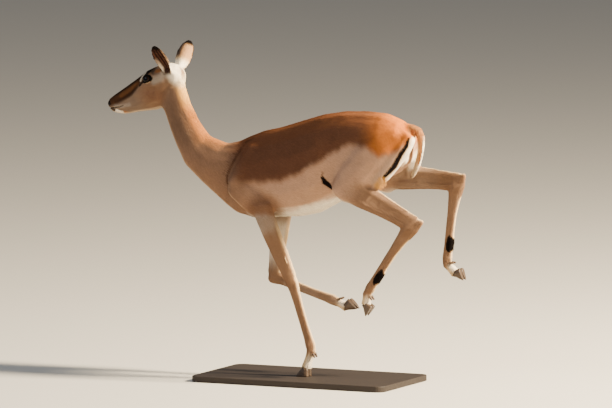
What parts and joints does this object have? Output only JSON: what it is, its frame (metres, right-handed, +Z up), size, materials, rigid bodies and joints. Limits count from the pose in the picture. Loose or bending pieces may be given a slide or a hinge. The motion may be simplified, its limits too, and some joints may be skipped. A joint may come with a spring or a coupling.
{
  "type": "impala antelope figure",
  "caption": "Life-size female impala in full gallop, poised on one forehoof over a flat rectangular museum base.",
  "frame": {"origin": "centre of the underside of the rectangular base, under the middle of the animal", "axes": "-X is the way the animal runs, -Y is its left side, +Z is up"},
  "size_m": [1.2728, 0.38, 1.1034],
  "materials": {
    "saddle": "short red-brown coat of the back, neck and tail",
    "flank": "short fawn coat of the haunches",
    "fawn": "short fawn coat of the head and legs",
    "ear": "fine fawn hair with black tips",
    "horn": "satin dark horn",
    "eye": "polished, opaque, very dark brown",
    "base": "satin dark stained board"
  },
  "bodies": {
    "root": {"cannon_fore_left": "fawn", "cannon_fore_right": "fawn", "cannon_hind_left": "fawn", "cannon_hind_right": "fawn", "dewclaw_fore_left_inner": "horn", "dewclaw_fore_left_outer": "horn", "dewclaw_fore_right_inner": "horn", "dewclaw_fore_right_outer": "horn", "dewclaw_hind_left_inner": "horn", "dewclaw_hind_left_outer": "horn", "dewclaw_hind_right_inner": "horn", "dewclaw_hind_right_outer": "horn", "ear_left": "ear", "ear_right": "ear", "eye_left": "eye", "eye_right": "eye", "forearm_fore_left": "fawn", "forearm_fore_right": "fawn", "gaskin_hind_left": "fawn", "gaskin_hind_right": "fawn", "head": "fawn", "hoof_fore_left_inner": "horn", "hoof_fore_left_outer": "horn", "hoof_fore_right_inner": "horn", "hoof_fore_right_outer": "horn", "hoof_hind_left_inner": "horn", "hoof_hind_left_outer": "horn", "hoof_hind_right_inner": "horn", "hoof_hind_right_outer": "horn", "neck": "saddle", "pastern_fore_left": "fawn", "pastern_fore_right": "fawn", "pastern_hind_left": "fawn", "pastern_hind_right": "fawn", "stand_base": "base", "tail": "saddle", "thigh_hind_left": "flank", "thigh_hind_right": "flank", "trunk": "saddle"}
  },
  "joints": []
}
